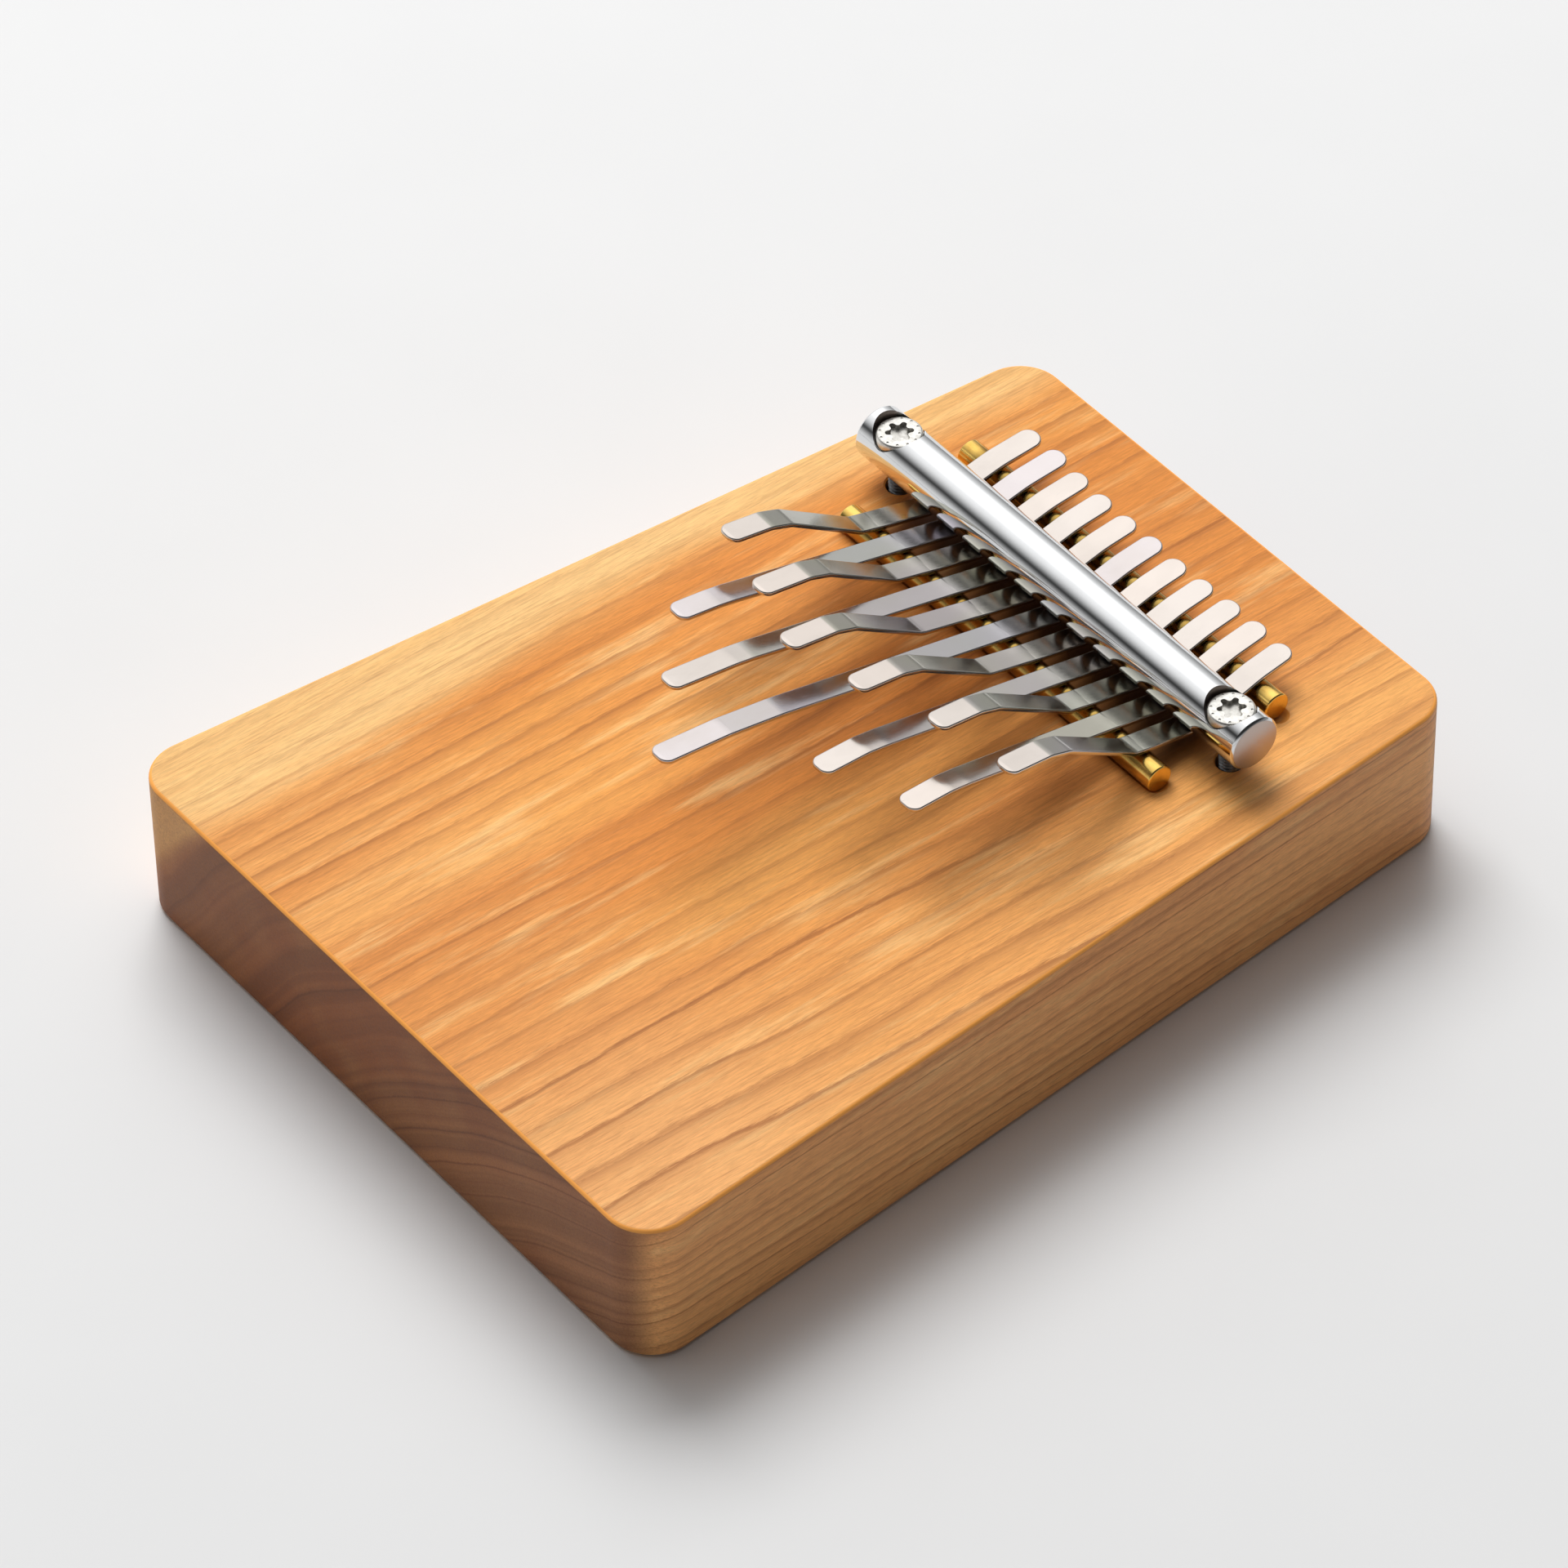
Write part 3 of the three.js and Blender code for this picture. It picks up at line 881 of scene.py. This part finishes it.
def shade_sides_tint_ends(look, wood, rings, sap, side, end_grain):
    """Darkens the long sides a little with painted shade, and the end grain in bands that follow the
    rings.
    """
    bands = look.noise(look.combine(rings, 0.0, 0.0), (0.7, 1.0, 1.0), 3.0, 0.6)
    bands = look.ease(bands, 0.4, 0.58)
    end_tint = look.mix(bands, (0.31, 0.215, 0.235, 1), (0.2, 0.125, 0.135, 1))
    end_tint = look.mix(sap, end_tint, (0.66, 0.52, 0.4, 1))
    # Painted shade on both long sides.
    wood = look.mix(look.ease(side, 0.5, 0.9), wood, (0.9, 0.82, 0.8, 1), "MULTIPLY")
    return look.mix(look.math("MULTIPLY", end_grain, 0.88), wood, end_tint, "MULTIPLY")


def paint_edge_highlight(look, wood, facing_z):
    """A painted highlight: makes the rounded edge of the playing face warm and bright."""
    slope = look.math("MULTIPLY", facing_z, facing_z)
    edge = look.math("MULTIPLY", slope, look.math("SUBTRACT", 1.0, slope))
    edge = look.math("MULTIPLY", look.ease(edge, 0.02, 0.16, 0.0, 0.9), look.ease(facing_z, 0.0, 0.4))
    return look.mix(edge, wood, rgb(255, 172, 80))


def cherry_wood():
    look = Look("cherry_wood", Specular_IOR_Level=0.35)
    place = look.place()
    radius, rings = growth_rings(look, place)
    fibre = look.noise(place, (2.4, 0.06, 2.4), 5.0, 0.7)
    fleck = look.noise(place, (3.4, 0.24, 3.4), 3.0, 0.75)
    facing_x, facing_y, facing_z = look.normal()
    side = look.math("ABSOLUTE", facing_x)
    end_grain = look.ease(look.math("ABSOLUTE", facing_y), 0.45, 0.95)

    wood, sap = heart_and_sap(look, place, radius, end_grain, facing_z)
    wood = add_fibres(look, wood, place, fibre, fleck, end_grain)
    line = ring_lines(look, rings, place, fleck, side, end_grain)
    line = look.math("MULTIPLY", line, look.ease(sap, 0, 1, 0.68, 0.3))
    line = look.math("MULTIPLY", line, look.ease(end_grain, 0, 1, 1.0, 0.8))
    wood = look.mix(line, wood, rgb(138, 74, 32))
    pores = look.ease(look.noise(place, (7.0, 0.45, 7.0), 2.0), 0.66, 0.78)
    wood = look.mix(look.math("MULTIPLY", pores, 0.35), wood, rgb(120, 66, 34))
    wood = shade_sides_tint_ends(look, wood, rings, sap, side, end_grain)
    # Painted highlight along the rounded edge of the playing face.
    wood = paint_edge_highlight(look, wood, facing_z)
    # Painted shade: the wood under the strips between the rods is darkened.
    painted_shade = look.math("MULTIPLY", shade_under_bridge(look, place), BRIDGE_SHADE["strength"])
    wood = look.mix(painted_shade, wood, rgb(66, 38, 20))

    roughness = look.ease(fibre, 0.2, 0.8, 0.5, 0.62)
    height = look.math("MULTIPLY_ADD", pores, -0.8, look.math("MULTIPLY_ADD", fleck, 0.6, fibre))
    normal = look.bump(height, 0.03, 0.35)
    return look.finish(Base_Color=wood, Roughness=roughness, Normal=normal)


def back_wood():
    """Thin plywood: an even face veneer, and stripes of its layers on the edges."""
    look = Look("back_wood")
    place = look.place()
    facing_z = look.math("ABSOLUTE", look.normal()[2])
    broad = look.ease(look.noise(place, (0.06, 0.008, 0.06), 3.0), 0.35, 0.65)
    veneer = look.mix(broad, rgb(205, 150, 96), rgb(226, 178, 124))
    figure = look.noise(place, (0.5, 0.03, 0.5), 5.0, 0.6)
    veneer = look.mix(look.ease(figure, 0.55, 0.4, 0.0, 0.35), veneer, rgb(170, 112, 64))
    fibre = look.noise(place, (3.0, 0.1, 3.0), 4.0, 0.7)
    veneer = look.mix(look.ease(fibre, 0.5, 0.3, 0.0, 0.3), veneer, rgb(150, 96, 54))
    layer = look.math("FRACT", look.math("DIVIDE", look.split(place)[2], PLY))
    glue = look.ease(look.math("ABSOLUTE", look.math("SUBTRACT", layer, 0.5)), 0.38, 0.5)
    plies = look.mix(glue, rgb(196, 148, 98), rgb(110, 70, 42))
    wood = look.mix(look.ease(facing_z, 0.5, 0.9), plies, veneer)
    normal = look.bump(fibre, 0.04, 0.4)
    roughness = look.ease(fibre, 0.2, 0.8, 0.6, 0.75)
    return look.finish(Base_Color=wood, Roughness=roughness, Normal=normal)


# ---- Metals -------------------------------------------------------------------------


def spring_steel(name, base):
    """Polished flat spring steel with fine rolling lines along its length."""
    look = Look(name, Metallic=1.0)
    place = look.place()
    rolled = look.noise(place, (5.0, 0.06, 5.0), 4.0, 0.6)
    smudge = look.noise(place, (0.12, 0.07, 0.12), 3.0, 0.6)
    tint = look.mix(look.ease(smudge, 0.35, 0.7, 0.0, 0.35), base, rgb(166, 162, 156))
    # Painted reflection colour by slope: the steep leads take a faint cast that wanders between greenish
    # and lavender, and the flatter stretches a warmer one.
    leads = look.ease(look.normal()[1], 0.16, 0.22)
    lead_reflection_tint = look.ease(look.noise(place, (0.055, 0.04, 0.055), 1.0), 0.36, 0.64)
    lead_reflection_tint = look.mix(lead_reflection_tint, rgb(180, 182, 160), rgb(192, 182, 190))
    tint = look.mix(0.4, tint, look.mix(leads, rgb(228, 213, 204), lead_reflection_tint))
    scratches = look.ease(look.noise(place, (9.0, 0.35, 9.0), 2.0), 0.7, 0.78, 0.0, 0.4)
    tint = look.mix(scratches, tint, rgb(150, 148, 146))
    polished = look.ease(rolled, 0.3, 0.7, 0.15, 0.2)
    roughness = look.math("ADD", polished, look.ease(smudge, 0.4, 0.8, 0.0, 0.07))
    normal = look.bump(look.math("SUBTRACT", rolled, scratches), 0.004, 0.25)
    return look.finish(Base_Color=tint, Roughness=roughness, Normal=normal)


def chrome():
    """Mirror plating on the round bar, with satin turned end faces."""
    look = Look("chrome", Metallic=1.0)
    place = look.place()
    facing_x = look.math("ABSOLUTE", look.normal()[0])
    is_end = look.ease(facing_x, 0.75, 0.9)
    _, y, z = look.split(place)
    centre = middle_mm("pressure_bar")
    off_y, off_z = look.math("SUBTRACT", y, centre.y), look.math("SUBTRACT", z, centre.z)
    turning = look.math("SINE", look.math("MULTIPLY", look.distance(off_y, off_z), 24.0))
    smudge = look.noise(place, (0.1, 0.14, 0.14), 4.0, 0.6)
    drawn = look.noise(place, (0.05, 6.0, 6.0), 3.0, 0.6)
    plating = look.mix(look.ease(smudge, 0.4, 0.75, 0.0, 0.3), rgb(228, 229, 230), rgb(208, 209, 210))
    tint = look.mix(is_end, plating, rgb(190, 176, 168))
    polished = look.ease(drawn, 0.3, 0.7, 0.05, 0.09)
    polished = look.math("ADD", polished, look.ease(smudge, 0.5, 0.8, 0.0, 0.04))
    roughness = look.add("ShaderNodeMapRange", is_end, 0.0, 1.0, polished, 0.36)
    turned_height = look.math("MULTIPLY", turning, is_end)
    normal = look.bump(drawn, 0.002, 0.2, look.bump(turned_height, 0.01, 0.35))
    return look.finish(Base_Color=tint, Roughness=roughness, Normal=normal)


def brass(name, base, shade_colour):
    """Bright brass rod with turning marks round it, a little tarnish, and painted shade on it under the
    strips.
    """
    look = Look(name, Metallic=1.0)
    place = look.place()
    marks = look.noise(place, (7.0, 0.5, 0.5), 3.0, 0.6)
    tarnish = look.noise(place, (0.12, 0.3, 0.3), 4.0, 0.6)
    tint = look.mix(look.ease(tarnish, 0.42, 0.72, 0.0, 0.7), base, shade_colour)
    # Painted shade: the rod is darkened where it lies under the strips.
    under = look.ease(look.math("ABSOLUTE", look.split(place)[0]), 39.0, 36.5, 0.0, 0.55)
    tint = look.mix(under, tint, rgb(98, 76, 38))
    roughness = look.ease(marks, 0.3, 0.7, 0.16, 0.26)
    normal = look.bump(marks, 0.004, 0.35)
    return look.finish(Base_Color=tint, Roughness=roughness, Normal=normal)


def stainless_screw():
    """Satin stainless steel, with painted shade down in the socket and the pits, and darker painted
    shade on the shank.
    """
    look = Look("stainless_screw", Metallic=1.0)
    place = look.place()
    head_top = box_mm("clamp_screw_left")[1].z
    height = look.split(place)[2]
    # Painted shade in the socket and the pits, by depth below the head's face.
    recess_shade = look.ease(height, head_top - 0.15, head_top - 1.2)
    mottle = look.noise(place, (1.4, 1.4, 1.4), 5.0, 0.7)
    tint = look.mix(look.ease(mottle, 0.4, 0.65, 0.0, 0.5), rgb(232, 230, 224), rgb(200, 197, 190))
    tint = look.mix(look.math("MULTIPLY", recess_shade, 0.3), tint, rgb(150, 146, 138))
    # Painted shade on the shank, below the bar and down into the hole.
    shank_shade = look.ease(height, TOP + 6, TOP + 3)
    tint = look.mix(look.math("MULTIPLY", shank_shade, 0.75), tint, rgb(66, 70, 80))
    roughness = look.ease(mottle, 0.3, 0.7, 0.3, 0.42)
    normal = look.bump(mottle, 0.012, 0.3)
    return look.finish(Base_Color=tint, Roughness=roughness, Normal=normal)


# ---- Assembly -----------------------------------------------------------------------


def place_piece(piece, material, body, node):
    piece.data.materials.clear()
    piece.data.materials.append(material)
    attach(piece, body)
    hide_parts(node)


def build_box():
    place_piece(body_block(), cherry_wood(), "box", "body_block")
    place_piece(back_plate(), back_wood(), "box", "back_plate")


def build_bridge():
    rod_brass = brass("brass", rgb(236, 198, 108), rgb(196, 146, 62))
    sleeve_brass = brass("insert_brass", rgb(214, 176, 100), rgb(160, 122, 62))
    screw_steel = stainless_screw()
    for end in ("front", "rear"):
        node = f"{end}_bridge_rod"
        place_piece(bridge_rod(node, f"{end}_rod"), rod_brass, "box", node)
    place_piece(pressure_bar(), chrome(), "clamp_bar", "pressure_bar")
    for side in ("left", "right"):
        node = f"clamp_screw_{side}"
        screw = clamp_screw(node, f"{side}_screw")
        place_piece(screw, screw_steel, f"{side}_screw", node)
        node = f"screw_insert_{side}"
        sleeve = threaded_insert(node, f"{side}_insert")
        place_piece(sleeve, sleeve_brass, "box", node)


def build_tines():
    warm = spring_steel("steel_warm", rgb(193, 187, 180))
    cool = spring_steel("steel_cool", rgb(182, 181, 188))
    plain = spring_steel("steel_plain", rgb(188, 185, 180))
    shades = [plain, cool, warm, plain, warm, cool, warm, plain, plain, warm, plain]
    for index, ((tail, runs), material) in enumerate(zip(TINES, shades)):
        add_tine(index, tail, runs, material)


# ---- Floor, light and camera --------------------------------------------------------

AIM = Vector((0.0018, -0.0087, 0.029))
CAMERA = {"azimuth": 52.675, "elevation": 44.127, "distance": 1.4391, "roll": 1.08,
          "lens": 201.68, "sensor": 36.0, "near": 0.05, "far": 50.0}
FLOOR = {"reach": 6.0, "below": 0.0002}

# A broad soft light over the bridge with a bright middle, fading into a dim room. Its walls
# grow pale towards the floor, and less so behind the bridge than in front.
STUDIO = {"azimuth": 248.5, "elevation": 52.2, "edge": 60, "glow": 1.2, "room": 0.03}
MIDDLE = {"azimuth": 238, "elevation": 47.6, "edge": 30, "full": 8, "glow": 0.4}
SKIRT = {"glow": 0.8, "top": 30, "full": 0, "behind": 0.36}
KEY = {"distance": 2.4, "width": 1.5, "height": 1.4, "radiance": 7.7}


def away(azimuth, elevation):
    """The direction from the object to something. Azimuth 0 is towards -Y, and 90 towards +X."""
    a, e = math.radians(azimuth), math.radians(elevation)
    return Vector((math.sin(a) * math.cos(e), -math.cos(a) * math.cos(e), math.sin(e)))


def add_floor():
    reach = FLOOR["reach"]
    corners = [(-reach, -reach, 0), (reach, -reach, 0), (reach, reach, 0), (-reach, reach, 0)]
    mesh = bpy.data.meshes.new("floor")
    mesh.from_pydata(corners, [], [(0, 1, 2, 3)])
    floor = bpy.data.objects.new("floor", mesh)
    floor.location.z = -FLOOR["below"]
    bpy.context.scene.collection.objects.link(floor)
    look = Look("pale_floor", Roughness=0.9)
    grain = look.noise(look.place(), (0.02, 0.02, 0.02), 3.0)
    tint = look.mix(grain, rgb(222, 222, 222), rgb(226, 226, 226))
    mesh.materials.append(look.finish(Base_Color=tint))


def add_key_light():
    """A soft light at the middle of the broad one, aimed at the object. It isn't reflected."""
    light = bpy.data.lights.new("key", "AREA")
    light.shape = "RECTANGLE"
    light.size, light.size_y = KEY["width"], KEY["height"]
    light.energy = KEY["radiance"] * math.pi * KEY["width"] * KEY["height"]
    lamp = bpy.data.objects.new("key", light)
    toward = away(STUDIO["azimuth"], STUDIO["elevation"])
    lamp.location = toward * KEY["distance"]
    lamp.rotation_mode = "QUATERNION"
    lamp.rotation_quaternion = toward.to_track_quat("Z", "Y")
    lamp.visible_glossy = False
    bpy.context.scene.collection.objects.link(lamp)


def add_world():
    world = bpy.data.worlds.new("studio")
    sky = NodeTree(world)
    direction = sky.add("ShaderNodeTexCoord", output="Generated")

    def facing(light):
        toward = away(light["azimuth"], light["elevation"])
        return sky.vector("DOT_PRODUCT", direction, toward, output=1)

    def cosine(angle):
        return math.cos(math.radians(angle))

    light = sky.ease(facing(STUDIO), cosine(STUDIO["edge"]), 1.0, STUDIO["room"], STUDIO["glow"])
    edge, full = cosine(MIDDLE["edge"]), cosine(MIDDLE["full"])
    middle = sky.ease(facing(MIDDLE), edge, full, 0.0, MIDDLE["glow"])
    _, along, up = sky.split(direction)
    top, full = (math.sin(math.radians(SKIRT[key])) for key in ("top", "full"))
    skirt = sky.ease(up, top, full, 0.0, SKIRT["glow"])
    skirt = sky.math("MULTIPLY", skirt, sky.ease(along, -1.0, 1.0, 1.0, SKIRT["behind"]))
    radiance = sky.math("ADD", sky.math("ADD", light, middle), skirt)
    sky.set(sky.nodes["Background"].inputs["Strength"], radiance)
    sky.set(sky.nodes["Background"].inputs["Color"], (1, 1, 1, 1))
    bpy.context.scene.world = world


def add_camera():
    data = bpy.data.cameras.new("camera")
    data.lens, data.sensor_width = CAMERA["lens"], CAMERA["sensor"]
    data.clip_start, data.clip_end = CAMERA["near"], CAMERA["far"]
    camera = bpy.data.objects.new("camera", data)
    back = away(CAMERA["azimuth"], CAMERA["elevation"])
    camera.location = AIM + back * CAMERA["distance"]
    level = back.to_track_quat("Z", "Y").to_matrix()
    roll = Matrix.Rotation(math.radians(-CAMERA["roll"]), 3, "Z")
    camera.rotation_euler = (level @ roll).to_euler()
    bpy.context.scene.collection.objects.link(camera)
    bpy.context.scene.camera = camera


def build_stage():
    add_floor()
    add_world()
    add_key_light()
    bpy.context.scene.view_settings.view_transform = "Standard"
    add_camera()


build_box()
build_bridge()
build_tines()
build_stage()
